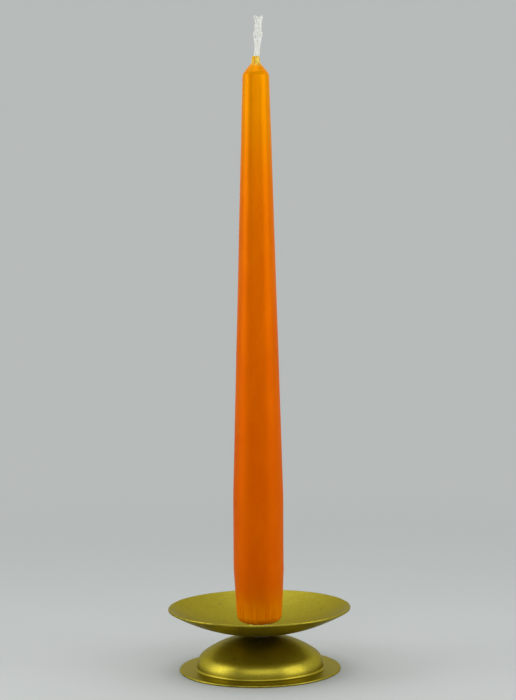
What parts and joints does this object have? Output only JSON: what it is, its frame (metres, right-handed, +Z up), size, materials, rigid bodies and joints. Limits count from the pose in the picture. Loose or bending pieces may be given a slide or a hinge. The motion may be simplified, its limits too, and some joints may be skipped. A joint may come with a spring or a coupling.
{
  "type": "candlestick with taper candle",
  "caption": "Gold-lacquered sheet-steel candle holder: a shallow drip dish on a domed, flanged foot, with a tall taper candle lifted on and off a central spike.",
  "frame": {"origin": "centre of the foot's underside, on the surface it stands on", "axes": "+Z straight up along the axis of foot, dish, spike and candle; +X to the right, -Y towards the viewer"},
  "size_m": [0.0836, 0.0836, 0.2976],
  "materials": {
    "gold_lacquer": "satin gold metallic lacquer on pressed sheet steel",
    "plated_steel": "bright zinc-plated turned steel",
    "dark_steel": "blackened, oiled steel",
    "orange_wax": "satin dyed candle wax, slightly translucent",
    "cotton_wick": "bleached braided cotton"
  },
  "bodies": {
    "holder": {"foot": "gold_lacquer", "spacer_washer": "dark_steel", "drip_dish": "gold_lacquer", "spike": "plated_steel", "flat_washer": "plated_steel", "spring_washer": "dark_steel", "hex_nut": "plated_steel"},
    "candle": {"candle": "orange_wax", "wick": "cotton_wick"}
  },
  "joints": [
    {"name": "candle_lift", "type": "slide", "parent": "holder", "child": "candle", "axis": [0, 0, 1], "range_m": [0, 0.04]}
  ]
}
